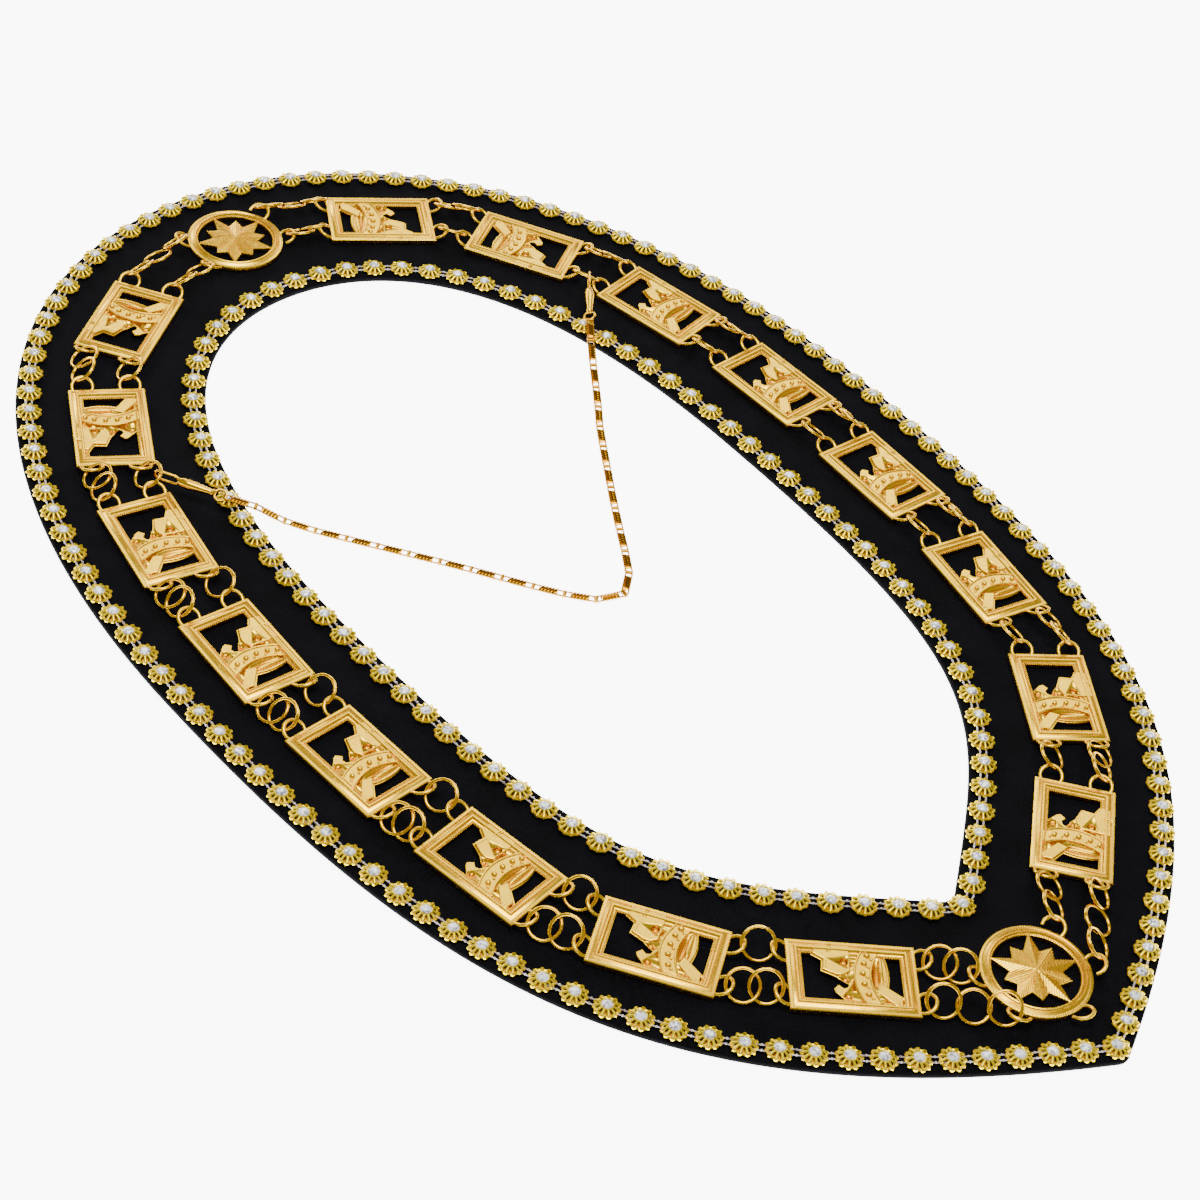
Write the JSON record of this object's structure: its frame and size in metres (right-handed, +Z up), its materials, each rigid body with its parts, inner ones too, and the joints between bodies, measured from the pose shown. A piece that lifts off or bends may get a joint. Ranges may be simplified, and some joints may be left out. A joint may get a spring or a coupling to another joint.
{
  "type": "masonic collar",
  "caption": "Velvet regalia collar of pointed oval outline carrying a chain of pierced plates and star medallions, with rosette trims and a keeper chain across the neck opening.",
  "frame": {"origin": "centre of the collar's outline on the surface it lies on", "axes": "+X toward the wearer's left side as laid, +Y toward the back of the neck, +Z up off the surface; the point of the collar is toward -Y"},
  "size_m": [0.349, 0.554, 0.0126],
  "materials": {
    "velvet": "black cotton velvet, short dense pile",
    "plate_gold": "pale gold plated casting, bright edges",
    "rosette_gold": "lemon gold plated filigree with clear stones",
    "ring_gold": "polished warm gold plated wire",
    "crystal": "clear facetted crystal backed with foil, in the rosettes",
    "thread": "clear nylon thread under the rosettes"
  },
  "bodies": {
    "root": {"velvet_band": "velvet", "outer_rosette_trim": "rosette_gold", "inner_rosette_trim": "rosette_gold", "plate_left_1": "plate_gold", "plate_left_2": "plate_gold", "plate_left_3": "plate_gold", "plate_left_4": "plate_gold", "plate_left_5": "plate_gold", "plate_left_6": "plate_gold", "plate_left_7": "plate_gold", "plate_left_8": "plate_gold", "plate_right_1": "plate_gold", "plate_right_2": "plate_gold", "plate_right_3": "plate_gold", "plate_right_4": "plate_gold", "plate_right_5": "plate_gold", "plate_right_6": "plate_gold", "plate_right_7": "plate_gold", "plate_right_8": "plate_gold", "front_medallion": "plate_gold", "back_medallion": "plate_gold", "rings_left_1_inner": "ring_gold", "rings_left_1_outer": "ring_gold", "rings_left_2_inner": "ring_gold", "rings_left_2_outer": "ring_gold", "rings_left_3_inner": "ring_gold", "rings_left_3_outer": "ring_gold", "rings_left_4_inner": "ring_gold", "rings_left_4_outer": "ring_gold", "rings_left_5_inner": "ring_gold", "rings_left_5_outer": "ring_gold", "rings_left_6_inner": "ring_gold", "rings_left_6_outer": "ring_gold", "rings_left_7_inner": "ring_gold", "rings_left_7_outer": "ring_gold", "rings_left_8_inner": "ring_gold", "rings_left_8_outer": "ring_gold", "rings_left_9_inner": "ring_gold", "rings_left_9_outer": "ring_gold", "rings_right_1_inner": "ring_gold", "rings_right_1_outer": "ring_gold", "rings_right_2_inner": "ring_gold", "rings_right_2_outer": "ring_gold", "rings_right_3_inner": "ring_gold", "rings_right_3_outer": "ring_gold", "rings_right_4_inner": "ring_gold", "rings_right_4_outer": "ring_gold", "rings_right_5_inner": "ring_gold", "rings_right_5_outer": "ring_gold", "rings_right_6_inner": "ring_gold", "rings_right_6_outer": "ring_gold", "rings_right_7_inner": "ring_gold", "rings_right_7_outer": "ring_gold", "rings_right_8_inner": "ring_gold", "rings_right_8_outer": "ring_gold", "rings_right_9_inner": "ring_gold", "rings_right_9_outer": "ring_gold", "clip_left": "ring_gold", "clip_right": "ring_gold", "keeper_chain": "ring_gold"}
  },
  "joints": []
}
